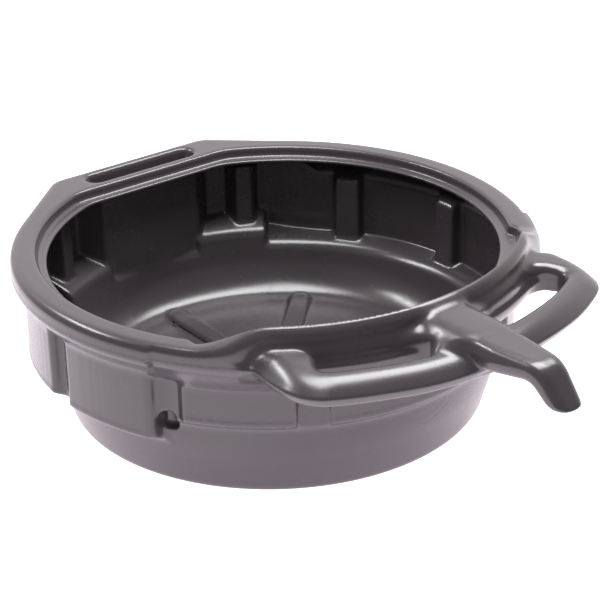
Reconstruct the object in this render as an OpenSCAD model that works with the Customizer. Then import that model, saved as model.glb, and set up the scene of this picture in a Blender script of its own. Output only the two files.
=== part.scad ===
// Round oil drain pan: a stepped bowl with an anti-splash lip, a raised dam at the front,
// two loop handles, a slotted rear handle and a hollow drooping spout.
// The pan stands on z = 0 and the bowl's axis is the Z axis. The spout points along -Y,
// the rear handle along +Y. Angles about the axis are measured from the spout.

/* [Bowl] */
// Radius of the bowl where it stands on the floor
base_r = 176; // [170:1:180]
// Radius of the sump at the step under the wall panels
sump_top_r = 192; // [188:1:194]
// Height of the step at the sides and the rear
step_z = 50; // [44:1:54]
// Height of the higher step at the front
front_step_z = 70; // [66:1:74]
// Thickness of the moulded skin
skin = 3; // [2.6:0.1:3.4]

/* [Wall panels] */
// Outer radius of the side and rear panels
panel_r = 211; // [209:0.5:213]
// Outer radius of the front panels
front_panel_r = 202; // [200:0.5:203]
// Height at which the panels meet the rim
panel_top_z = 112; // [108:1:114]
// Depth of the upright grooves between panels
groove_depth = 10; // [8:0.5:11]
// Angle that one groove takes up
groove_span = 6.6; // [5.5:0.1:7.5]
// Angle from one groove to the next
groove_pitch = 30.8; // [30.4:0.1:31]

/* [Rim] */
// Outer radius of the rim
rim_r = 220; // [219:0.5:222]
// Height of the parting line under the rim
parting_z = 121; // [120:0.5:123]
// Height of the rim deck
deck_z = 144; // [142:1:147]
// Height of the anti-splash lip
lip_z = 135; // [133:1:137]
// Radius of the mouth inside the lip
mouth_r = 190; // [186:1:192]
// Radius where the lip steps up to the deck
riser_r = 199; // [197:0.5:201]
// Height of the raised dam at the front
dam_z = 164; // [160:1:168]
// Outer radius of the raised dam
dam_r = 214; // [212:0.5:215]

/* [Handles] */
// Outer radius of the two loop handles
loop_r = 265; // [262:1:268]
// Width of the loop handles' bars
loop_w = 22; // [19:1:24]
// Height of the top of the loop handles
loop_z = 141; // [138:1:143]
// Distance from the axis to the straight rear edge
rear_edge_y = 223; // [222:0.5:226]
// Half the length of the straight rear edge
rear_corner_x = 81; // [78:1:84]
// Length of the slot in the rear handle
slot_l = 114; // [100:1:118]
// Width of the slot in the rear handle
slot_w = 18; // [16:1:19]

/* [Spout] */
// Outside width of the spout at its root
spout_w = 38; // [34:1:40]
// Outside width of the spout at its tip
tip_w = 26; // [22:1:30]
// Height of the spout's flat top
spout_z = 155; // [152:1:158]
// Distance from the axis to the bend in the spout's top
bend_y = 328; // [320:1:332]
// Distance from the axis to the tip of the spout
tip_y = 354; // [350:1:358]
// Height of the spout's underside where it leaves the pan
spout_low_z = 134; // [131:1:136]
// Height of the open end of the tip
tip_z = 126; // [122:1:128]

/* [Hidden] */
$fn = 180;

shell_color = [0.30, 0.29, 0.30];
inner_color = [0.22, 0.21, 0.22];
grip_color = [0.36, 0.35, 0.36];

// A point at angle a and radius r, the angle measured from the spout towards +X
function pol(a, r) = [r * sin(a), -r * cos(a)];

far = 420;                                  // reach of the cutting wedges
low_r = panel_r - groove_depth;             // groove floor radius at the sides
half_groove = groove_span / 2;
front_a = 2 * groove_pitch;                 // the higher front step ends at this angle
step_rise = 0.58;                           // slope of the step under the panels
step_t = skin + 1;                          // upright thickness of the sloped step
rib_h = 5;                                  // height of the ribs on the floor
floor_r = 146;                              // flat part of the floor
cove_top_z = 30;                            // where the floor's cove meets the sump wall
dam_end = 37;                               // the dam is level up to this angle
ramp_end = 55;                              // the dam's ramp ends at the deck here
deck_chord_y = 183;                         // straight inner edge of the rear deck
mouth_chord_y = 174;                        // straight rear edge of the mouth
back_wall_y = 191;                          // flat wall under the rear handle
back_wall_x = 52;
deck_chord_x = 78;                          // half the length of the rear handle's deck

function sump_r(z) = base_r + (sump_top_r - base_r) * z / step_z;
function step_at(r) = step_z + step_rise * (r - sump_top_r);

// Right rear corner: where the tangent from the corner meets the rim circle
corner_d = norm([rear_corner_x, rear_edge_y]);
corner_a = 180 - atan2(rear_corner_x, rear_edge_y);
tangent_a = corner_a - acos(rim_r / corner_d);

module sector(a0, a1) {
    rotate([0, 0, a0 - 90]) rotate_extrude(angle = a1 - a0) children();
}
module wedge(a0, a1) {
    polygon([[0, 0], pol(a0, far), pol((a0 + a1) / 2, far * 1.4), pol(a1, far)]);
}
module both_sides() {
    children();
    mirror([1, 0, 0]) children();
}
module side(s) {
    if (s < 0) mirror([1, 0, 0]) children();
    else children();
}
module slab(z0, z1) {
    translate([0, 0, z0]) linear_extrude(z1 - z0) children();
}
module upright(r, z0, z1) {
    translate([r - skin, z0]) square([skin, z1 - z0]);
}

// ---- bowl ----
module floor_plate() color(inner_color) {
    slab(0, skin) circle(floor_r);
}
module rib() {
    slab(skin, skin + rib_h) {
        translate([-11, 60]) square([22, 70]);
        for (y = [60, 130]) translate([0, y]) circle(11);
    }
}
module floor_ribs() color(inner_color) {
    for (i = [0:7]) rotate([0, 0, 45 * i]) rib();
}
// The cove between floor and sump wall has two straight faces that meet at the knee
knee = [170, 6];
module floor_cove() color(inner_color) rotate_extrude() {
    polygon([[floor_r, 0], [base_r - 3, 0], [sump_r(3), 3], knee, [floor_r, skin]]);
}
module sump_heel() color(inner_color) rotate_extrude() {
    polygon([[sump_r(3), 3], [sump_r(cove_top_z), cove_top_z],
        [sump_r(cove_top_z) - skin, cove_top_z], knee]);
}
module sump_wall_right() color(shell_color) {
    sector(0, 180) polygon([
        [sump_r(cove_top_z), cove_top_z], [sump_top_r, step_z],
        [sump_top_r - skin, step_z + 1], [sump_r(cove_top_z) - skin, cove_top_z]]);
}
module sump_wall_left() side(-1) sump_wall_right();
module step_profile(r_end) {
    polygon([[sump_top_r - skin, step_z + 1], [sump_top_r, step_z],
        [r_end, step_at(r_end)], [r_end, step_at(r_end) + step_t],
        [sump_top_r - skin, step_at(sump_top_r - skin) + step_t]]);
}
module step_right() color(shell_color) sector(front_a, 127) step_profile(panel_r);
module step_left() side(-1) step_right();
module step_rear() color(shell_color) intersection() {
    sector(127, 233) step_profile(240);
    slab(step_z - 5, 100) rear_outline();
}
front_in_r = sump_top_r + 1 - skin;
front_low_z = front_step_z + 5;
module step_front() color(shell_color) {
    sector(-front_a, front_a) polygon([[sump_top_r - skin, step_z + 1], [sump_top_r, step_z],
        [sump_top_r + 1, front_step_z], [front_panel_r, front_low_z],
        [front_panel_r, front_low_z + skin], [front_in_r, front_step_z + 1]]);
    both_sides() rotate([0, 0, front_a - 90]) translate([front_in_r + 1, -skin, step_z + 3])
        cube([low_r - front_in_r - 1, skin, front_low_z - step_z]);
}
// Everything below the upper face of the steps, to cut the feet of the walls
module below_side_step() rotate_extrude() {
    polygon([[0, 0], [0, step_at(150)], [150, step_at(150) + step_t],
        [240, step_at(240) + step_t], [240, 0]]);
}
module below_front_step() rotate_extrude() {
    rise = (front_low_z + skin - front_step_z - 1) / (front_panel_r - front_in_r);
    polygon([[0, 0], [0, front_step_z + 1], [front_in_r, front_step_z + 1],
        [rim_r, front_step_z + 1 + rise * (rim_r - front_in_r)], [rim_r, 0]]);
}

// ---- upright walls ----
module panel(a0, a1, r, z0) color(shell_color) {
    sector(a0, a1) upright(r, z0, panel_top_z);
}
// A groove is a folded skin: floor, two cheeks and a cap that joins the shoulder
module groove(a, r, depth) color(inner_color) {
    sector(a - half_groove, a + half_groove) {
        upright(r - depth, step_z, panel_top_z);
        translate([r - depth - skin, panel_top_z - skin]) square([depth + skin, skin]);
    }
    for (s = [-1, 1]) rotate([0, 0, a + s * half_groove - 90])
        translate([r - depth - 1, s < 0 ? 0 : -skin, step_z])
            cube([depth + 0.5, skin, panel_top_z - step_z - 1]);
}
low_z = step_at(panel_r) + step_t;
side_a = groove_pitch * 2 + half_groove;
side_b = groove_pitch * 3 + half_groove;
rear_a = groove_pitch * 4 + half_groove;
module panel_front() {
    panel(-groove_pitch + half_groove, groove_pitch - half_groove, front_panel_r,
        front_low_z + skin);
}
module front_side_panel() {
    panel(groove_pitch + half_groove, 2 * groove_pitch - half_groove,
        front_panel_r, front_low_z + skin);
}
module panel_front_left() side(-1) front_side_panel();
module panel_front_right() side(1) front_side_panel();
module side_panel() panel(side_a, side_a + groove_pitch - groove_span, panel_r, low_z);
module panel_side_left() side(-1) side_panel();
module panel_side_right() side(1) side_panel();
module mid_panel() panel(side_b, side_b + groove_pitch - groove_span, panel_r, low_z);
module panel_mid_left() side(-1) mid_panel();
module panel_mid_right() side(1) mid_panel();
module grooves_front() difference() {
    both_sides() groove(groove_pitch, front_panel_r, groove_depth - 2);
    below_front_step();
}
module grooves_side() difference() {
    both_sides() groove(front_a, panel_r, groove_depth);
    below_side_step();
}
module grooves_mid() difference() {
    both_sides() for (i = [3, 4]) groove(i * groove_pitch, panel_r, groove_depth);
    below_side_step();
}

// Plan of the bowl at the rear: the wall leaves the circle, runs straight to a corner,
// and comes back to the flat wall under the handle
rear_path = [pol(rear_a, panel_r), [118, 186], [106, 174], [90, 184], [92, 200], [68, 207],
    [back_wall_x, back_wall_y]];
rear_split = atan2(rear_path[1][0], -rear_path[1][1]);
module rear_outline() {
    half = concat([[0, -panel_r / 2], pol(rear_a - 12, panel_r)], rear_path);
    polygon(concat(half, [for (i = [len(half) - 1:-1:1]) [-half[i][0], half[i][1]]]));
}
module rear_wall() difference() {
    slab(step_z, parting_z - skin) difference() {
        rear_outline();
        offset(delta = -skin) rear_outline();
    }
    below_side_step();
}
module rear_panel() color(shell_color) intersection() {
    rear_wall();
    slab(0, deck_z) wedge(rear_a, rear_split);
}
module panel_rear_left() side(-1) rear_panel();
module panel_rear_right() side(1) rear_panel();
module corner() color(shell_color) intersection() {
    rear_wall();
    slab(0, deck_z) difference() {
        wedge(rear_split, 180);
        square([2 * back_wall_x, 2 * far], center = true);
    }
}
module corner_left() side(-1) corner();
module corner_right() side(1) corner();
module panel_handle_back() color(shell_color) intersection() {
    rear_wall();
    translate([-back_wall_x, 0, 0]) cube([2 * back_wall_x, far, deck_z]);
}

// ---- shoulder and shelf that carry the rim ----
module shoulder_profile(r) {
    polygon([[r - skin, panel_top_z], [r, panel_top_z], [rim_r, parting_z - skin],
        [rim_r, parting_z], [rim_r - skin - 1, parting_z]]);
}
module shoulder_front() color(shell_color) sector(-front_a, front_a) shoulder_profile(front_panel_r);
module shoulder_right() color(shell_color) sector(front_a, rear_a) shoulder_profile(panel_r);
module shoulder_left() side(-1) shoulder_right();

// Plan of the rim, d inside its outer edge: a circle with a straight-sided rear corner
module rim_outline(d) {
    n = pol(tangent_a, 1);
    x = (rim_r - d - n[1] * (rear_edge_y - d)) / n[0];
    t = pol(tangent_a - 4, rim_r - d - 0.3);
    circle(rim_r - d);
    polygon([[0, 0], t, [x, rear_edge_y - d], [-x, rear_edge_y - d], [-t[0], t[1]]]);
}
module mouth_plan(r, chord) {
    intersection() {
        circle(r);
        translate([-far, -2 * far + chord]) square(2 * far);
    }
}
module rear_slot(grow) {
    x = slot_l / 2 - slot_w / 2;
    y = rear_edge_y - 20;
    for (s = [-1, 1]) translate([s * x, y]) circle(slot_w / 2 + grow);
    translate([-x, y - slot_w / 2 - grow]) square([2 * x, slot_w + 2 * grow]);
}
module rear_shelf() color(shell_color) slab(parting_z - skin, parting_z) difference() {
    intersection() {
        rim_outline(0);
        translate([-far, rear_path[0][1]]) square([2 * far, far]);
    }
    offset(delta = -skin) rear_outline();
    rear_slot(0);
}

// ---- rim, lip and dam ----
module rim_shell() {
    slab(parting_z, deck_z - 9) difference() { rim_outline(0); rim_outline(skin); }
    slab(deck_z - 9, deck_z - skin) difference() { rim_outline(2); rim_outline(2 + skin); }
    slab(deck_z - skin, deck_z) difference() {
        rim_outline(3);
        mouth_plan(riser_r, deck_chord_y);
    }
    slab(lip_z, deck_z - skin) difference() {
        mouth_plan(riser_r + skin, deck_chord_y + skin);
        mouth_plan(riser_r, deck_chord_y);
    }
}
module rim_part(a0, a1) color(shell_color) intersection() {
    rim_shell();
    slab(0, far) wedge(a0, a1);
}
rim_split = 125;
module rim_right() {
    rim_part(ramp_end, rim_split);
    color(shell_color) rotate([0, 0, ramp_end - 90]) translate([riser_r, 0, lip_z])
        cube([dam_r - riser_r, skin, deck_z - skin - lip_z]);
}
module rim_left() side(-1) rim_right();
module rim_corner_right() color(shell_color) intersection() {
    rim_shell();
    slab(0, far) difference() {
        wedge(rim_split, 180);
        square([2 * deck_chord_x, 2 * far], center = true);
    }
}
module rim_corner_left() side(-1) rim_corner_right();
module rear_handle() color(grip_color) {
    intersection() {
        rim_shell();
        slab(0, far) translate([-deck_chord_x, deck_chord_y]) difference() {
            square([2 * deck_chord_x, 2 * deck_chord_x]);
            translate([deck_chord_x, -deck_chord_y]) rear_slot(0);
        }
    }
    slab(parting_z, deck_z - skin) difference() { rear_slot(1.5); rear_slot(0); }
}
module lip_part(a0, a1) color(grip_color) intersection() {
    slab(lip_z - skin, lip_z) difference() {
        mouth_plan(riser_r + skin, deck_chord_y + skin);
        mouth_plan(mouth_r, mouth_chord_y);
    }
    slab(0, far) wedge(a0, a1);
}
module lip_front() lip_part(-45, 45);
module lip_right() lip_part(45, 145);
module lip_left() lip_part(215, 315);
module lip_rear() lip_part(145, 215);

// The dam is a folded skin: an outer wall from the parting line, a narrow top, and an
// inner wall down to the gutter outside the lip
dam_w = 9;
module dam_skin(top) {
    polygon([[rim_r, parting_z], [dam_r, top - 3], [dam_r - 3, top], [dam_r - dam_w + 3, top],
        [dam_r - dam_w, top - 3], [dam_r - dam_w, lip_z], [dam_r - dam_w + skin, lip_z],
        [dam_r - dam_w + skin, top - skin], [dam_r - skin, top - skin],
        [rim_r - skin - 1, parting_z]]);
}
module dam_front() color(grip_color) difference() {
    sector(-dam_end, dam_end) intersection() {
        dam_skin(dam_z);
        translate([dam_r - skin, 0]) square([far, dam_z - skin]);
    }
    root_cavity();
}
module dam_crest() color(grip_color) sector(-dam_end, dam_end) difference() {
    dam_skin(dam_z);
    translate([dam_r - skin, 0]) square([far, dam_z - skin]);
}
module ramp_plane(lift) {
    mid = (dam_end + ramp_end) / 2;
    run_l = 2 * dam_r * sin((ramp_end - dam_end) / 2);
    rotate([0, 0, mid - 90]) translate([0, 0, (dam_z + deck_z) / 2 + lift])
        rotate([-atan((dam_z - deck_z) / run_l), 0, 0])
            translate([0, -far / 2, 0]) cube(far);
}
module dam_ramp_right() color(grip_color) {
    difference() {
        sector(dam_end, ramp_end) dam_skin(dam_z + 2 * skin);
        ramp_plane(0);
    }
    intersection() {
        sector(dam_end, ramp_end) translate([dam_r - dam_w, 0]) square([dam_w, dam_z + skin]);
        difference() { ramp_plane(-skin); ramp_plane(0); }
    }
}
module dam_ramp_left() side(-1) dam_ramp_right();
module gutter() color(shell_color) sector(-ramp_end, ramp_end) {
    translate([riser_r + skin, lip_z - skin]) square([dam_r - dam_w - riser_r, skin]);
}

// ---- loop handles ----
loop_far_a = 33;                            // far end of the hand hole
root_x = 22;                                // the hand holes end here beside the spout
module loop_plan() {
    difference() {
        intersection() {
            circle(loop_r);
            polygon([[root_x, -180], [root_x, -loop_r], [156, -loop_r], [156, -202], [134, -146]]);
        }
        circle(rim_r);
        intersection() {
            circle(loop_r - loop_w);
            wedge(0, loop_far_a);
        }
    }
}
module loop() color(grip_color) {
    slab(parting_z, loop_z - 4) offset(6, $fn = 40) offset(-6, $fn = 40) loop_plan();
    slab(loop_z - 4, loop_z) offset(3, $fn = 40) offset(-6, $fn = 40) loop_plan();
}
module handle_left() side(-1) loop();
module handle_right() side(1) loop();

// ---- spout ----
straight_y = 285;                           // the spout narrows from here to its tip
knee_y = bend_y - 8;                        // bend in the underside
knee_z = spout_low_z + 4.5;
reach_z = 20;                               // the side view runs on this far below the tip
// Side view of the spout, d inside its outer face; x runs out from the axis
module spout_side(x0, x1, d) {
    front_run = (tip_y - bend_y) / (spout_z - tip_z);
    back_run = (tip_y - 22 - knee_y) / (knee_z - tip_z);
    intersection() {
        offset(delta = -d) polygon([[dam_r - 40, spout_z], [bend_y, spout_z],
            [tip_y + front_run * reach_z, tip_z - reach_z],
            [tip_y - 22 + back_run * reach_z, tip_z - reach_z], [knee_y, knee_z],
            [straight_y, spout_low_z], [dam_r - 40, spout_low_z]]);
        translate([x0, d > 0 ? 0 : tip_z]) square([x1 - x0, far]);
    }
}
// Top view of the spout, d inside its outer face
module spout_plan(d) {
    w0 = spout_w / 2 - d;
    w1 = tip_w / 2 - d;
    polygon([[-w0, -dam_r + 40], [w0, -dam_r + 40], [w0, -straight_y], [w1, -tip_y],
        [w1, -far], [-w1, -far], [-w1, -tip_y], [-w0, -straight_y]]);
}
module spout_solid(x0, x1, d) intersection() {
    rotate([0, 0, -90]) rotate([90, 0, 0]) linear_extrude(2 * spout_w, center = true)
        spout_side(x0, x1, d);
    slab(0, far) spout_plan(d);
}
module spout_bore() spout_solid(loop_r - 4 * skin, far, skin);
module spout_part(x0, x1) color(grip_color) difference() {
    spout_solid(x0, x1, 0);
    spout_bore();
}
module spout_neck() spout_part(loop_r, knee_y);
module spout_nozzle() spout_part(knee_y, far);
// The root stands between the two hand holes and is hollow like a funnel
module root_block(y0, y1) translate([0, -y0, 0]) rotate([90, 0, 0]) linear_extrude(y1 - y0) {
    children();
}
module root_section() {
    polygon([[-root_x, parting_z], [root_x, parting_z], [root_x, loop_z], [spout_w / 2, spout_z],
        [-spout_w / 2, spout_z], [-root_x, loop_z]]);
}
module root_cavity() difference() {
    root_block(dam_r - 20, loop_r - 2 * skin) offset(delta = -skin) root_section();
    slab(0, far) circle(dam_r - skin - 1);
}
module spout_root() color(grip_color) difference() {
    root_block(dam_r - 20, loop_r) root_section();
    sector(-20, 20) polygon([[0, 0], [rim_r, 0], [rim_r, parting_z], [dam_r, dam_z - 3],
        [dam_r, far], [0, far]]);
    root_cavity();
    spout_bore();
}

floor_plate();
floor_ribs();
floor_cove();
sump_heel();
sump_wall_left();
sump_wall_right();
step_rear();
step_left();
step_right();
step_front();
panel_front();
panel_front_left();
panel_front_right();
panel_side_left();
panel_side_right();
panel_mid_left();
panel_mid_right();
panel_rear_left();
panel_rear_right();
panel_handle_back();
grooves_front();
grooves_side();
grooves_mid();
corner_left();
corner_right();
shoulder_front();
shoulder_left();
shoulder_right();
rear_shelf();
rim_left();
rim_right();
rim_corner_left();
rim_corner_right();
rear_handle();
lip_front();
lip_left();
lip_right();
lip_rear();
dam_front();
dam_crest();
dam_ramp_left();
dam_ramp_right();
gutter();
handle_left();
handle_right();
spout_root();
spout_neck();
spout_nozzle();
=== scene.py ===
import math
import bpy
import numpy as np
from mathutils import Matrix, Vector


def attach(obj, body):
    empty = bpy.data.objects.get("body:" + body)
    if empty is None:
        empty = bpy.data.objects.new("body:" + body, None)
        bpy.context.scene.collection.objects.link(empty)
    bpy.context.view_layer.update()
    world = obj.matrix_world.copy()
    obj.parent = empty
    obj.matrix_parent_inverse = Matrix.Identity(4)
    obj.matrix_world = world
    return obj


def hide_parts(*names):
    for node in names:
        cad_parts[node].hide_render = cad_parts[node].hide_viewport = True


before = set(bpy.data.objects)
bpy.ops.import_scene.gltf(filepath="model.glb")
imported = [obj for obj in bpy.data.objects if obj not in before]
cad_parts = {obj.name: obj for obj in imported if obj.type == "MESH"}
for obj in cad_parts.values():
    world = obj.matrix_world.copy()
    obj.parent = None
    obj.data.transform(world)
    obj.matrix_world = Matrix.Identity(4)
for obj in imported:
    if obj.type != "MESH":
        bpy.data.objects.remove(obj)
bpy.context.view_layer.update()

# ---------------------------------------------------------------------------
# Driving sizes in millimetres and degrees, +Z up, spout along -Y. Angles
# round the pan are measured from the spout, and both halves mirror.
# ---------------------------------------------------------------------------
STEP = 1.5               # spacing of the grid that holds the distance field
SKIN = 3.0               # thickness of the skin
GRID_X = 224             # half width, and the ends of the grid
GRID_Y = (-356, 228)
GRID_Z = (-4.13, 169)

BASE_R = 177.5           # base of the sump
SUMP_SLOPE = 0.29        # how far its wall leans out per mm of height
SUMP_LEAN = math.atan(16 / 50)  # angle that turns radius into distance to it
COLLAR_R = 192           # steeper collar above the sump, from COLLAR_Z up
COLLAR_Z = 50
SUMP_TOP = 100           # hidden behind the upper wall
FOOT_R = 168             # inside of the foot ring
FLOOR_LIFT = 2.5         # the floor stands off the ground inside it
RIB_PITCH = 360 / 8
RIB_LIFT = 5.5
RIB_MID_R = 108
RIB_HALF = 44            # half length of a rib between its end rounds
RIB_W = 10               # half width

WALL_R = 211             # upper wall, sides and rear
FRONT_WALL_R = 203       # upper wall, front
FRONT_END = 64.2         # the front wall ends here
STEP_FACE = 0.86         # turns height under a step into distance to it
SIDE_STEP = (47.5, 0.43, COLLAR_R)  # each step: height, slope outwards, and
REAR_STEP = (63, 0.57, 199)         # the radius where it has that height
FRONT_STEP = (66.5, 0.55, 193.5)
SIDE_STEP_TOP = 56
REAR_STEP_START = 125    # the rear step lies above the side step from here
SIDE_STEP_GAP = (146.5, 165)  # and alone between these angles
BEAD = 2.6               # height of the bead over a step's edge
PANEL = 30.8             # angle that one wall panel takes
WALL_LOW = 40            # hidden inside the sump
WALL_TOP = 128
POCKET = (62.3, 187, 67)  # angle, radius and height of the side groove's pocket

RIM_R = 220
RIM_FACE = 0.6           # how far the rim's face stands proud of RIM_R
RIM_SEAM_Z = 129.2       # parting line of the rim
SHOULDER_Z = 125.5       # lower edge of the rim
REAR_Y = 223             # straight rear edge
CORNER_START = 126.5     # the folds of the rear corner begin here
CORNER = 160.04 - 21.97  # direction that the slanting rear corner faces
RIM_Z = 134              # foot of the rim's upper roll
DECK_Z = 144
DECK_R = 199             # inner edge of the deck
DECK_REAR_Y = 183
GUTTER = 6               # how much wider the recess is at the front
DAM_RISE = 21.2
CREST_END = 37           # the dam's level crest ends here
DAM_END = 55             # the dam has run out into the rim here
LIP_Z = 132              # underside of the lip
LIP_TOP = 135
LIP_R = 189
REAR_LIP_Y = 174

SEAM_Z = 130             # parting line of the loop handles
LOOP_R = 272.5
LOOP_X = 157
LOOP_TOP = 142.5
LOOP_LOW = 121
LOOP_END = (0.923, 0.385, 80.5)  # slanting end: direction and distance
LOOP_HOLE_R = 232
LOOP_HOLE_W = 14.5
LOOP_HOLE_X = 25
LOOP_HOLE_END = 31.8

ROOT_Z = 153             # crown of the mound between dam and spout
ROOT_REACH = 266
SPOUT_TOP = 155.3
SPOUT_KEEL = 133         # height of its underside
SPOUT_SEAM = 9.5         # depth of its parting line under the top
NECK_S = 285             # the underside rises from here to the bend
KEEL_SLOPE = 0.157
TOP_BEND = (330, 155, 0.744, 0.668)     # bend of the top: distance along the
KEEL_BEND = (320, 138.5, 0.666, 0.746)  # spout, height, then its facing
TIP_Z = 124.7
SPOUT_HALF = ((NECK_S, 19.7), (325, 15.2), (352, 12.8))  # half widths along it

GRIP_Y = 202             # hand slot in the rear deck
GRIP_X = 47
GRIP_R = 8.5

TWIST = 0.4              # degrees that spout and loops are turned by
SHIFT = 9                # how far the loops are shifted to the right


def smin(a, b, k):
    """Smaller of two distances, rounded over k millimetres."""
    h = np.maximum(k - np.abs(a - b), 0) / k
    return np.minimum(a, b) - h * h * (k * 0.25)


def smax(a, b, k):
    """Larger of two distances, rounded over k millimetres."""
    return -smin(-a, -b, k)


def ease(t):
    """Smooth ramp from 0 to 1."""
    t = np.clip(t, 0, 1)
    return t * t * (3 - 2 * t)


def ridge(offset, width, height=1.0):
    """Small raised line with the profile of a bell."""
    return height * np.exp(-(offset / width) ** 2)


def pol(angle, r):
    """Point at an angle from the spout and a radius."""
    angle = math.radians(angle)
    return r * math.sin(angle), -r * math.cos(angle)


def polygon(x, y, pts):
    """Signed distance to a closed polygon, negative inside."""
    best = np.full(x.shape, 1e9, np.float32)
    inside = np.zeros(x.shape, bool)
    for (ax, ay), (bx, by) in zip(pts, pts[1:] + pts[:1]):
        ex, ey = bx - ax, by - ay
        t = np.clip(((x - ax) * ex + (y - ay) * ey) / (ex * ex + ey * ey), 0, 1)
        best = np.minimum(best, (x - ax - t * ex) ** 2 + (y - ay - t * ey) ** 2)
        if ay != by:
            inside ^= ((y < ay) != (y < by)) & (x < ax + (y - ay) / (by - ay) * ex)
    return np.where(inside, -1, 1) * np.sqrt(best)


def rib_distance(r, angle, half_width):
    """Distance in plan to the nearest radial rib of the floor."""
    turn = np.radians((angle + RIB_PITCH / 2) % RIB_PITCH - RIB_PITCH / 2)
    along, off = r * np.cos(turn), r * np.sin(turn)
    return np.hypot(np.maximum(np.abs(along - RIB_MID_R) - RIB_HALF, 0), off) - half_width


# ---------------------------------------------------------------------------
# The pan's skin as one distance field
# ---------------------------------------------------------------------------
class Plan:
    """Everything that depends on x and y only, on the half plan x >= 0."""

    def __init__(self, x, y):
        self.x, self.y = x, y
        self.r = np.hypot(x, y)
        self.a = np.degrees(np.arctan2(x, -y))
        self.under = self.underside()
        self.rim = self.rim_edge()
        self.wall = np.where(self.a < CORNER_START, self.r - WALL_R, polygon(x, y, self.wall_outline()))
        deck_r = DECK_R + GUTTER * ease((DAM_END + 1 - self.a) / 2.5)
        self.inner = smax(self.r - deck_r, y - DECK_REAR_Y, 4)
        lip_r = LIP_R - 2 * np.cos(np.radians(2 * self.a))
        self.mouth = smax(self.r - lip_r, y - REAR_LIP_Y, 3)
        self.top = DECK_Z + DAM_RISE * ease((DAM_END - self.a) / 18)

    def underside(self):
        """Height of the outer bottom: foot ring, floor and pressed-up ribs."""
        rib = rib_distance(self.r, self.a, RIB_W)
        return FLOOR_LIFT * ease((FOOT_R - self.r) / 14) + RIB_LIFT * ease((3 - rib) / 6)

    def rim_edge(self):
        """Circle, then the tangent of the slanting corner and the rear edge."""
        nx, ny = pol(CORNER, 1)
        rear = smax(nx * self.x + ny * self.y - RIM_R, self.y - REAR_Y, 5)
        return np.minimum(self.r - RIM_R, np.maximum(rear, ny * self.x - nx * self.y))

    @staticmethod
    def wall_outline():
        """Circle at the side, then the folds of the rear corner."""
        side = [pol(t, WALL_R) for t in (60, 75, 90, 105, 118, CORNER_START)]
        half = side + [(117, 187), (103, 176), (93, 181), (92, 199), (70, 206), (51, 191)]
        return half + [(-px, py) for px, py in half[::-1]]

    def across(self, angle):
        """Distance across the upright plane through the axis at an angle."""
        return self.r * np.sin(np.radians(self.a - angle))

    def out(self, angle):
        """Distance from the axis along that plane."""
        return self.r * np.cos(np.radians(self.a - angle))


def sump_side(p, z):
    """Distance to the sump's leaning wall."""
    return (p.r - BASE_R - SUMP_SLOPE * z) * math.cos(SUMP_LEAN)


def sump(p, z):
    """Solid bowl below the step, with its collar."""
    shape = smax(sump_side(p, z), p.r - COLLAR_R - 0.075 * (z - COLLAR_Z), 3)
    return smax(smax(shape, p.under - z, 5), z - SUMP_TOP, 3)


def step_height(r, height, slope, at_r):
    """Height of a step's slanting underside at a radius."""
    return height + slope * (r - at_r)


def wall_on_step(wall, step, z, k):
    """Wall that ends at the bottom in a step."""
    return smax(wall, (step - z) * STEP_FACE, k)


def side_wall(p, z):
    """Low step, with a gap at the rear where only the high one is left."""
    step = np.minimum(step_height(p.r, *SIDE_STEP), SIDE_STEP_TOP)
    bead = ridge(z - step - BEAD, 1.5, 0.9)
    gap = np.minimum(p.across(SIDE_STEP_GAP[0]), -p.across(SIDE_STEP_GAP[1]))
    low = smax(wall_on_step(p.wall - bead, step, z, 2), gap, 3)
    high = wall_on_step(p.wall, step_height(p.r, *REAR_STEP), z, 3)
    return smin(low, smax(high, REAR_STEP_START - p.a, 3), 2)


def front_wall(p, z):
    """Front wall on its higher step, all the way round."""
    step = step_height(p.r, *FRONT_STEP)
    bead = ridge(z - step - BEAD, 1.5, 0.9)
    return wall_on_step(p.r - FRONT_WALL_R - bead, step, z, 2)


def upper_wall(p, z):
    """Solid upper wall; the front wall runs on behind the side wall's end."""
    turn = p.across(FRONT_END)
    wall = smin(smax(side_wall(p, z), -turn, 3), smax(front_wall(p, z), turn - 60, 3), 2)
    return smax(smax(wall, z - WALL_TOP, 2), WALL_LOW - z, 2)


def rim(p, z):
    """Rim with the shoulder under it, rising into the dam at the front."""
    drop = 20 - 15 * ease((p.a - 128) / 8)
    edge = SHOULDER_Z - np.minimum(np.maximum(-p.rim, 0) * 1.3, drop)
    seam = ridge(z - RIM_SEAM_Z, 1.1)
    ahead = ease((DAM_END - p.a) / 15)
    outer = smax(p.rim - RIM_FACE - seam, p.rim - RIM_FACE + 0.3 * (z - DECK_Z), 3)
    dam = ahead * (8.6 + 0.14 * (z - RIM_Z))
    outer = smax(outer, p.rim - 6 + dam + 8 * np.minimum(z - RIM_Z, 0), 1.5)
    cap = z - p.top + ahead * 0.5 * np.maximum(p.r - 205, 0)
    shape = smax(outer, cap, 8 - ease((58 - p.a) / 10))
    return smax(shape, (edge - z) * 0.65, 2.5)


# angle, radius of the groove's floor, its half width, top and flare
GROOVES = (
    (28.8, 197, 12, 113, 0.3),
    (60.9, 198.5, 7, 113, 0.75),
    (3 * PANEL, 201, 9, 117, 0.3),
    (4 * PANEL, 201, 9, 117, 0.3),
)


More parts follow.
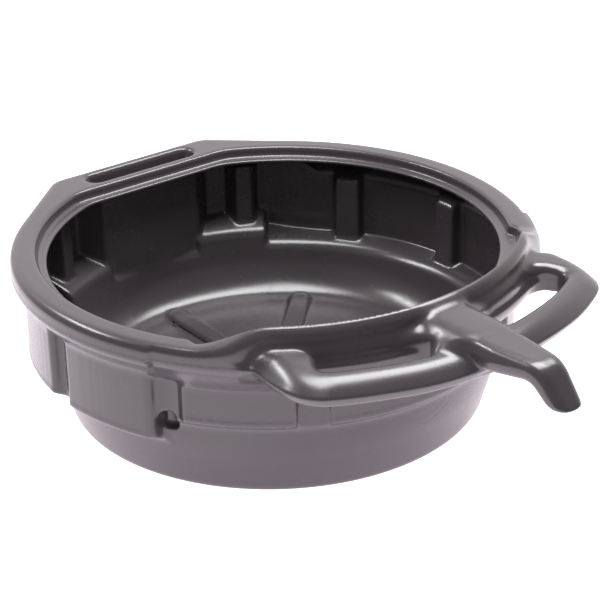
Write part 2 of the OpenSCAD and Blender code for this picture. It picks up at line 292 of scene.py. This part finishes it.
def cut_grooves(p, z, body):
    """Upright grooves between the panels, and the side groove's pocket."""
    for angle, floor_r, half, top, flare in GROOVES:
        q = p.out(angle)
        side = np.abs(p.across(angle)) - half - flare * (q - floor_r)
        cut = smax(side / math.hypot(1, flare), floor_r - q, 3)
        cut = smax(cut, z - top + 0.5 * np.maximum(WALL_R - q, 0), 5)
        near = np.abs(p.a - angle) < 9
        body = np.where(near, smax(body, -cut, 3), body)
    angle, floor_r, height = POCKET
    pocket = smax(np.abs(p.across(angle)) - 6, floor_r - p.r, 4)
    pocket = smax(pocket, np.abs(z - height) - 9, 5)
    return smax(body, -pocket, 2)


def cavity(p, z, body):
    """Inside of the bowl, one skin in from the body and under the lip."""
    cave = smax(body + SKIN, z - LIP_Z, 2)
    behind = p.y - 188 - 1.5 * np.maximum(p.x - 52, 0)
    cave = smax(cave, np.where(p.a > 150, behind, -99), 2)
    deep = smax(sump_side(p, z) + SKIN, p.under + SKIN - z, 34)
    return np.where(z < 46, np.maximum(cave, deep), cave)


def loop_hole(p, z):
    """Hand hole between a loop's bar and the dam, widest at its middle."""
    hole = smax(np.abs(p.r - LOOP_HOLE_R) - LOOP_HOLE_W, p.across(LOOP_HOLE_END), 12)
    return smax(hole, LOOP_HOLE_X - p.x, 22) + 0.05 * np.abs(z - 129)


def loop_handle(p, z):
    """Loop handle with drafted faces and its parting line."""
    draft = 0.8 * np.maximum(z - SEAM_Z, 0) + 0.45 * np.maximum(SEAM_Z - z, 0)
    loop = smax(p.r - LOOP_R, p.x - LOOP_X, 20)
    nx, ny, away = LOOP_END
    loop = smax(loop, nx * p.x + ny * p.y - away, 10)
    loop = loop + draft - ridge(z - SEAM_Z, 1.2)
    loop = smax(smax(loop, -loop_hole(p, z), 3), 205 - p.r, 2)
    loop = np.where(p.y < -60, loop, 200)
    return smax(smax(loop, z - LOOP_TOP + 0.12 * (p.r - 247), 9), LOOP_LOW - z, 4)


def spout_root(p, z):
    """Mound between the dam's outer wall and the spout."""
    crown = ROOT_Z - 0.0068 * p.x ** 2
    reach = ROOT_REACH - 0.016 * p.x ** 2
    root = smax(smax(z - crown, p.r - reach, 12), 210 + p.y, 2)
    root = np.where(p.y < -150, smax(root, 122 - z, 4), 200)
    return smax(root, -loop_hole(p, z), 7)


def bend_face(s, z, bend):
    """Distance past a plane through (s, z) that faces forward and up."""
    at_s, at_z, ns, nz = bend
    return ns * (s - at_s) + nz * (z - at_z)


def spout_section(p, z):
    """Distance along the spout, half width there, and depth in top and keel."""
    s = -p.y
    half = np.interp(s, *zip(*SPOUT_HALF)).astype(np.float32)
    top = smax(z - SPOUT_TOP, bend_face(s, z, TOP_BEND), 8)
    keel = SPOUT_KEEL + np.clip(s - NECK_S, 0, KEEL_BEND[0] - NECK_S) * KEEL_SLOPE
    low = smin(keel - z, -bend_face(s, z, KEEL_BEND), 6)
    return s, half, smax(top, low, 4)


def spout(p, z):
    """Solid spout, bent down to an open level tip."""
    s, half, depth = spout_section(p, z)
    seam = ridge(depth + SPOUT_SEAM, 1.2)
    side = p.x - half - 0.09 * np.minimum(depth + 10, 0) - seam
    tube = smax(smax(side, depth, 10), 212 - s, 2)
    return smax(tube, np.where(s > 300, TIP_Z - z, -99), 4)


def spout_bore(p, z):
    """Bore of the spout and its way in under the lip."""
    s, half, depth = spout_section(p, z)
    bore = smax(smax(p.x - half + SKIN, depth + SKIN, 11), 232 - s, 2)
    neck = smax(smax(p.x - 15, np.abs(s - 214) - 24, 2), np.abs(z - 138) - 4.5, 2)
    mouth = smax(smax(p.x - 32, np.abs(s - 203) - 14, 2), np.abs(z - 129) - 3.5, 2)
    return smin(bore, smin(neck, mouth, 3), 2)


def hand_slot(p, z):
    """Slot through the rear deck, flared at the top."""
    slot = np.hypot(np.maximum(p.x - GRIP_X, 0), p.y - GRIP_Y) - GRIP_R
    return slot - 0.10 * np.maximum(z - RIM_Z, 0)


def field(p, z):
    """Distance to the skin at the plan p and heights z, negative inside."""
    body = smin(sump(p, z), upper_wall(p, z), 6)
    body = smin(body, rim(p, z), 3)
    body = cut_grooves(p, z, body)
    recess = smax(p.inner + 0.12 * (DECK_Z - z), LIP_TOP - z, 2)
    body = smax(body, -recess, 2.5)
    slot = hand_slot(p, z)
    cave = np.maximum(cavity(p, z, body), -(slot - SKIN))
    mouth = np.maximum(p.mouth, 120 - z)
    solid = smin(body, loop_handle(p, z), 6)
    solid = smin(solid, spout_root(p, z), 6)
    solid = smin(solid, spout(p, z), 9)
    solid = smax(solid, -slot, 4)
    hollow = np.minimum(np.minimum(cave, mouth), spout_bore(p, z))
    return np.maximum(solid, -hollow)


# ---------------------------------------------------------------------------
# Mesh of the field's zero surface
# ---------------------------------------------------------------------------
def grid_field():
    """Field on the whole grid, lightly blurred, and the grid's origin."""
    columns = int(math.ceil(GRID_X / STEP))
    xs = np.arange(columns + 1, dtype=np.float32) * STEP
    ys = np.arange(*GRID_Y, STEP, dtype=np.float32)
    zs = np.arange(*GRID_Z, STEP, dtype=np.float32)
    px, py = np.meshgrid(xs, ys, indexing="ij")
    plan = Plan(px[..., None], py[..., None])
    f = np.empty((len(xs), len(ys), len(zs)), np.float32)
    slab = 16
    for i in range(0, len(zs), slab):
        f[..., i:i + slab] = field(plan, zs[None, None, i:i + slab])
    f = np.concatenate([f[:0:-1], f])
    for axis in range(3):
        before, after = np.roll(f, 1, axis), np.roll(f, -1, axis)
        f = 0.6 * f + 0.2 * (before + after)
    return f, np.array([-xs[-1], ys[0], zs[0]], np.float32)


def surface_nets(f):
    """Vertices in cell units and quads of the zero surface of f."""
    shape = np.array(f.shape)
    stride = np.array([shape[1] * shape[2], shape[2], 1])
    inside = f < 0
    cells, points, quads = [], [], []
    for axis in range(3):
        u, v = (axis + 1) % 3, (axis + 2) % 3
        lo = [slice(1, -1)] * 3
        hi = [slice(1, -1)] * 3
        hi[axis] = slice(2, None)
        change = inside[tuple(lo)] != inside[tuple(hi)]
        idx = np.argwhere(change) + 1
        nxt = idx.copy()
        nxt[:, axis] += 1
        f0, f1 = f[tuple(idx.T)], f[tuple(nxt.T)]
        crossing = idx.astype(np.float32)
        crossing[:, axis] += f0 / (f0 - f1)
        corner = []
        for du, dv in ((-1, -1), (0, -1), (0, 0), (-1, 0)):
            cell = idx.copy()
            cell[:, u] += du
            cell[:, v] += dv
            corner.append(cell @ stride)
            cells.append(corner[-1])
            points.append(crossing)
        quad = np.stack(corner, 1)
        flip = f0 > 0
        quad[flip] = quad[flip][:, ::-1]
        quads.append(quad)
    ids, inverse = np.unique(np.concatenate(cells), return_inverse=True)
    points = np.concatenate(points)
    count = np.bincount(inverse).astype(np.float32)
    verts = np.stack([np.bincount(inverse, points[:, k]) / count for k in range(3)], 1)
    quads = np.searchsorted(ids, np.concatenate(quads))
    return verts.astype(np.float32), quads


def sample(f, pts):
    """Trilinear value and gradient of f at pts, in cell units."""
    i = np.clip(np.floor(pts).astype(int), 0, np.array(f.shape) - 2)
    t = pts - i
    val, grad = 0, np.zeros_like(pts)
    for c in range(8):
        d = np.array([c >> 2 & 1, c >> 1 & 1, c & 1])
        w = np.where(d, t, 1 - t)
        v = f[i[:, 0] + d[0], i[:, 1] + d[1], i[:, 2] + d[2]]
        val = val + v * w[:, 0] * w[:, 1] * w[:, 2]
        s = np.where(d, 1, -1)
        grad[:, 0] += v * s[0] * w[:, 1] * w[:, 2]
        grad[:, 1] += v * s[1] * w[:, 0] * w[:, 2]
        grad[:, 2] += v * s[2] * w[:, 0] * w[:, 1]
    return val, grad


def skin_mesh():
    """Vertices in millimetres, quads and unit normals of the skin."""
    f, origin = grid_field()
    verts, quads = surface_nets(f)
    for _ in range(2):
        val, grad = sample(f, verts)
        move = grad * (val / np.maximum((grad ** 2).sum(1), 1e-6))[:, None]
        verts -= np.clip(move, -0.4, 0.4)
    normals = np.stack([sample(f, verts + e)[0] - sample(f, verts - e)[0]
                        for e in np.eye(3, dtype=np.float32)], 1)
    normals /= np.maximum(np.linalg.norm(normals, axis=1, keepdims=True), 1e-9)
    return verts * STEP + origin, quads, normals


def set_right(verts):
    """Spout and loops sit slightly to the right of the mirror plane."""
    x, y = verts[:, 0], verts[:, 1]
    outside = ease((np.hypot(x, y) - 213) / 16) * (y < -100)
    twist = np.radians(TWIST) * outside
    placed = verts.copy()
    placed[:, 0] = x * np.cos(twist) - y * np.sin(twist)
    placed[:, 1] = x * np.sin(twist) + y * np.cos(twist)
    placed[:, 0] += SHIFT * outside * ease((np.abs(x) - 35) / 70)
    return placed


verts, quads, normals = skin_mesh()
placed = set_right(verts)

# ---------------------------------------------------------------------------
# Regions: which part of the moulding each face belongs to. A face goes to
# the first group that claims it.
# ---------------------------------------------------------------------------
cx, cy, cz = verts[quads].mean(1).T
cr = np.hypot(cx, cy)
ca = np.degrees(np.arctan2(np.abs(cx), -cy))
left = cx < 0
GROUPS = []
owner = np.full(len(quads), -1)


def group(name, mask, *nodes, slot="shell"):
    """Claim the faces under the mask for a piece that stands for CAD nodes."""
    owner[mask & (owner < 0)] = len(GROUPS)
    GROUPS.append((name, nodes, slot))


def pair(name, mask, *nodes, slot="shell"):
    """The same for the left and the right piece of a mirrored pair."""
    for tag, half in (("left", left), ("right", ~left)):
        group(f"{name}_{tag}", mask & half, *[f"{n}_{tag}" for n in nodes], slot=slot)


# spout and loop handles, outside the rim
NOZZLE_Y, NECK_Y, ROOT_Y, HANDLE_Y = -319, -264, -200, -120
NECK_X, ROOT_X = 24, 44
ROOT_R, ROOT_LOW = 217, 119
HANDLE_R, HANDLE_LOW = 220.3, 116
group("nozzle", cy < NOZZLE_Y, "spout_nozzle", slot="shell_rim")
group("neck", (cy < NECK_Y) & (np.abs(cx) < NECK_X), "spout_neck", slot="shell_rim")
root = (cy < ROOT_Y) & (np.abs(cx) < ROOT_X) & (cr > ROOT_R) & (cz > ROOT_LOW)
group("root", root, "spout_root", slot="shell_rim")
loops = (cr > HANDLE_R) & (cy < HANDLE_Y) & (cz > HANDLE_LOW)
pair("loop_handle", loops, "handle", slot="shell_rim")

# bottom, up to the foot of the steps
RIB_TOP, RIB_END = 14, 165
FLOOR_TOP, FLOOR_END = 12, 140
HEEL_TOP = 30
SUMP_END = 47
rib = rib_distance(cr, ca, RIB_W + SKIN)
group("ribs", (cz < RIB_TOP) & (rib < 0) & (cr < RIB_END), "floor_ribs", slot="shell_inner")
group("floor", (cz < FLOOR_TOP) & (cr < FLOOR_END), "floor_plate", slot="shell_inner")
group("cove", cz < HEEL_TOP, "floor_cove", "sump_heel", slot="shell_inner")
pair("sump", (cz < SUMP_END) | ((cz < SUMP_END + 2.5) & (cr < COLLAR_R - 2)), "sump_wall")

# steps, each a band just over its slanting underside
front = ca < FRONT_END + 0.5
low = cz < np.where(front, step_height(cr, 74.5, 0.1, 193), step_height(cr, 53.5, 0.5, COLLAR_R))
group("step_front_band", low & front, "step_front")
pair("step_side", low & (ca < CORNER_START + 0.5), "step")
group("step_back", low, "step_rear")

# upper wall, panel by panel
wall = cz < 110
CORNER_X, BACK_X = 117, 52


def fold(panels, half):
    """Band of wall at the groove that ends this many panels."""
    return wall & (np.abs(ca - panels * PANEL) < half)


group("grooves_front_fold", fold(1, 4.2), "grooves_front", slot="shell_inner")
group("grooves_side_fold", fold(2, 4.2), "grooves_side", slot="shell_inner")
group("grooves_mid_fold", fold(3, 4) | fold(4, 3.9), "grooves_mid", slot="shell_inner")
group("front_wall", wall & (ca < PANEL), "panel_front")
pair("front_side_wall", wall & (ca < 2 * PANEL), "panel_front")
pair("side_wall", wall & (ca < 3 * PANEL), "panel_side")
pair("mid_wall", wall & (ca < 4 * PANEL), "panel_mid")
pair("rear_wall", wall & (np.abs(cx) > CORNER_X), "panel_rear")
pair("corner_wall", wall & (np.abs(cx) > BACK_X), "corner")
group("handle_back_wall", wall, "panel_handle_back")

# shoulder under the rim
under = cz < 125
group("front_shoulder", under & (ca < 2 * PANEL), "shoulder_front")
pair("side_shoulder", under & (ca < CORNER_START), "shoulder")
shelf = under & ((cy > 186) | (cr > 205)) & (ca >= CORNER_START)
group("back_shelf", shelf, "rear_shelf")

# lip, gutter and dam
flat = cz < LIP_TOP + 2.5
lip = flat & (cr < DECK_R + 1.5) & (cy < DECK_REAR_Y + 1.5)
group("lip_front_arc", lip & (ca < 45), "lip_front", slot="shell_rim")
pair("lip_side", lip & (ca < 145), "lip", slot="shell_rim")
group("lip_rear_arc", lip, "lip_rear", slot="shell_rim")
group("gutter_arc", (ca < DAM_END) & flat & (cr < 207), "gutter")
group("dam_outer", (ca < CREST_END) & (cr > 212) & (cz < 161), "dam_front", slot="shell_rim")
group("dam_top", ca < CREST_END, "dam_crest", slot="shell_rim")
pair("dam_ramp_side", ca < DAM_END, "dam_ramp", slot="shell_rim")

# rim
pair("rim_side", ca < 125, "rim")
group("rear_grip", (np.abs(cx) < 78) & (cy > 180), "rear_handle", slot="shell_rim")
pair("rim_rear_corner", cz > 0, "rim_corner")

# ---------------------------------------------------------------------------
# Material: satin charcoal polyethylene
# ---------------------------------------------------------------------------
CHARCOAL = (0.050, 0.043, 0.048)
ROUGHNESS = 0.26
METRES = 0.001


def plastic(name):
    """Charcoal plastic with faint mottling, scuffs and a fine grain."""
    material = bpy.data.materials.new(name)
    material.use_nodes = True
    nodes, links = material.node_tree.nodes, material.node_tree.links
    nodes.clear()
    output = nodes.new("ShaderNodeOutputMaterial")
    shader = nodes.new("ShaderNodeBsdfPrincipled")
    links.new(shader.outputs[0], output.inputs[0])
    shader.inputs["IOR"].default_value = 1.65
    place = nodes.new("ShaderNodeTexCoord")

    def noise(scale, detail, roughness, offset):
        texture = nodes.new("ShaderNodeTexNoise")
        texture.noise_dimensions = "4D"
        texture.inputs["W"].default_value = offset
        texture.inputs["Scale"].default_value = scale
        texture.inputs["Detail"].default_value = detail
        texture.inputs["Roughness"].default_value = roughness
        links.new(place.outputs["Object"], texture.inputs["Vector"])
        return texture.outputs[0]

    def ramp(source, lo, hi, first, last):
        node = nodes.new("ShaderNodeMapRange")
        node.inputs["From Min"].default_value = lo
        node.inputs["From Max"].default_value = hi
        node.inputs["To Min"].default_value = first
        node.inputs["To Max"].default_value = last
        links.new(source, node.inputs["Value"])
        return node.outputs[0]

    mottle = noise(7, 3, 0.5, 0)
    grain = noise(900, 2, 0.6, 3)
    scuff = noise(55, 6, 0.7, 7)
    mix = nodes.new("ShaderNodeMix")
    mix.data_type = "RGBA"
    links.new(ramp(mottle, 0.35, 0.65, 0, 1), mix.inputs["Factor"])
    mix.inputs["A"].default_value = (*CHARCOAL, 1)
    mix.inputs["B"].default_value = (*[c * 1.13 for c in CHARCOAL], 1)
    links.new(mix.outputs["Result"], shader.inputs["Base Color"])
    add = nodes.new("ShaderNodeMath")
    add.operation = "ADD"
    links.new(ramp(mottle, 0.3, 0.7, ROUGHNESS - 0.03, ROUGHNESS + 0.03), add.inputs[0])
    links.new(ramp(scuff, 0.55, 0.75, 0, 0.08), add.inputs[1])
    links.new(add.outputs[0], shader.inputs["Roughness"])
    bump = nodes.new("ShaderNodeBump")
    bump.inputs["Strength"].default_value = 0.05
    bump.inputs["Distance"].default_value = 0.0004
    links.new(grain, bump.inputs["Height"])
    links.new(bump.outputs[0], shader.inputs["Normal"])
    return material


SLOTS = {slot: plastic(slot) for slot in ("shell", "shell_inner", "shell_rim")}


def piece(name, points, faces, directions, nodes, slot):
    """One smooth mesh piece that stands for its CAD nodes."""
    mesh = bpy.data.meshes.new(name)
    mesh.vertices.add(len(points))
    mesh.vertices.foreach_set("co", (points * METRES).ravel())
    mesh.loops.add(faces.size)
    mesh.loops.foreach_set("vertex_index", faces.ravel().astype(np.int32))
    mesh.polygons.add(len(faces))
    mesh.polygons.foreach_set("loop_start", np.arange(0, faces.size, 4, dtype=np.int32))
    mesh.polygons.foreach_set("loop_total", np.full(len(faces), 4, np.int32))
    mesh.update(calc_edges=True)
    mesh.validate()
    mesh.polygons.foreach_set("use_smooth", np.ones(len(mesh.polygons), bool))
    mesh.normals_split_custom_set_from_vertices(directions)
    mesh.materials.append(SLOTS[slot])
    ob = bpy.data.objects.new(name, mesh)
    bpy.context.scene.collection.objects.link(ob)
    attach(ob, "root")
    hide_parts(*nodes)


for k, (name, nodes, slot) in enumerate(GROUPS):
    mine = quads[owner == k]
    used, local = np.unique(mine, return_inverse=True)
    piece(name, placed[used], local.reshape(mine.shape), normals[used], nodes, slot)

# ---------------------------------------------------------------------------
# Floor, light and camera, in metres
# ---------------------------------------------------------------------------
FLOOR_R = 0.92
FLOOR_SIDES = 96
scene = bpy.context.scene


def stage_floor():
    """Glowing white disc under the pan."""
    white = bpy.data.materials.new("stage_white")
    white.use_nodes = True
    shader = white.node_tree.nodes["Principled BSDF"]
    shader.inputs["Base Color"].default_value = (0.4, 0.4, 0.4, 1)
    shader.inputs["Roughness"].default_value = 0.9
    shader.inputs["Emission Color"].default_value = (1, 0.9, 0.98, 1)
    shader.inputs["Emission Strength"].default_value = 1.45
    turns = [t * math.tau / FLOOR_SIDES for t in range(FLOOR_SIDES)]
    ring = [(FLOOR_R * math.cos(t), FLOOR_R * math.sin(t), 0) for t in turns]
    mesh = bpy.data.meshes.new("stage_floor")
    mesh.from_pydata(ring, [], [tuple(range(FLOOR_SIDES))])
    mesh.materials.append(white)
    floor_ob = bpy.data.objects.new("stage_floor", mesh)
    scene.collection.objects.link(floor_ob)


def area(name, place, aim, size_x, size_y, watts):
    """Rectangular soft light that faces a point."""
    light = bpy.data.lights.new(name, "AREA")
    light.shape = "RECTANGLE"
    light.size, light.size_y = size_x, size_y
    light.energy = watts
    lamp = bpy.data.objects.new(name, light)
    lamp.location = place
    lamp.rotation_mode = "QUATERNION"
    lamp.rotation_quaternion = (Vector(aim) - Vector(place)).to_track_quat("-Z", "Y")
    scene.collection.objects.link(lamp)


def studio_world():
    """White wall behind the pan that fades overhead and towards the camera."""
    world = bpy.data.worlds.new("studio")
    scene.world = world
    world.use_nodes = True
    nodes, links = world.node_tree.nodes, world.node_tree.links

    def fade(source, lo, hi, first, last):
        node = nodes.new("ShaderNodeMapRange")
        node.interpolation_type = "SMOOTHSTEP"
        node.inputs["From Min"].default_value = lo
        node.inputs["From Max"].default_value = hi
        node.inputs["To Min"].default_value = first
        node.inputs["To Max"].default_value = last
        links.new(source, node.inputs["Value"])
        return node.outputs[0]

    sky = nodes.new("ShaderNodeTexCoord")
    split = nodes.new("ShaderNodeSeparateXYZ")
    links.new(sky.outputs["Generated"], split.inputs[0])
    behind = nodes.new("ShaderNodeVectorMath")
    behind.operation = "DOT_PRODUCT"
    behind.inputs[1].default_value = (0.625, 0.780, 0)
    links.new(sky.outputs["Generated"], behind.inputs[0])
    glow = nodes.new("ShaderNodeMath")
    glow.operation = "MULTIPLY"
    links.new(fade(split.outputs["Z"], 0.45, 0.95, 1.0, 0.28), glow.inputs[0])
    links.new(fade(behind.outputs["Value"], 0.1, 0.75, 0.2, 1.15), glow.inputs[1])
    background = nodes["Background"]
    links.new(glow.outputs[0], background.inputs["Strength"])
    background.inputs["Color"].default_value = (1, 0.985, 0.99, 1)


def camera():
    """Camera fitted to the photograph, then turned into the part's frame."""
    foot_r = 0.176
    back, up = 8.5532 * foot_r, 4.6533 * foot_r
    yaw, pitch, roll = (math.radians(v) for v in (2.2074, 26.4104, 0.5582))
    cos_turn, sin_turn = 0.8039, 0.5948
    lens = bpy.data.cameras.new("camera")
    lens.sensor_width = 36
    lens.lens = 117.55
    lens.shift_x, lens.shift_y = -0.0729, 0.0169
    lens.clip_start, lens.clip_end = 0.05, 50
    cam = bpy.data.objects.new("camera", lens)
    scene.collection.objects.link(cam)
    forward = Vector((math.sin(yaw) * math.cos(pitch), math.cos(yaw) * math.cos(pitch), -math.sin(pitch)))
    right = Vector((math.cos(yaw), -math.sin(yaw), 0))
    down = Vector((-math.sin(yaw) * math.sin(pitch), -math.cos(yaw) * math.sin(pitch), -math.cos(pitch)))
    rolled_right = math.cos(roll) * right + math.sin(roll) * down
    rolled_down = -math.sin(roll) * right + math.cos(roll) * down
    to_part = Matrix(((cos_turn, sin_turn, 0), (-sin_turn, cos_turn, 0), (0, 0, 1)))
    axes = Matrix((to_part @ rolled_right, to_part @ -rolled_down, to_part @ -forward))
    cam.rotation_mode = "QUATERNION"
    cam.rotation_quaternion = axes.transposed().to_quaternion()
    cam.location = to_part @ Vector((0, -back, up))
    scene.camera = cam


stage_floor()
studio_world()
area("box_top", (0.35, 0.0, 1.5), (0.35, 0.001, 0), 1.6, 0.75, 46)
area("strip_back", (-0.8, 0.9, 1.2), (0, 0, 0.1), 0.7, 0.12, 10)
camera()
scene.view_settings.view_transform = "Standard"
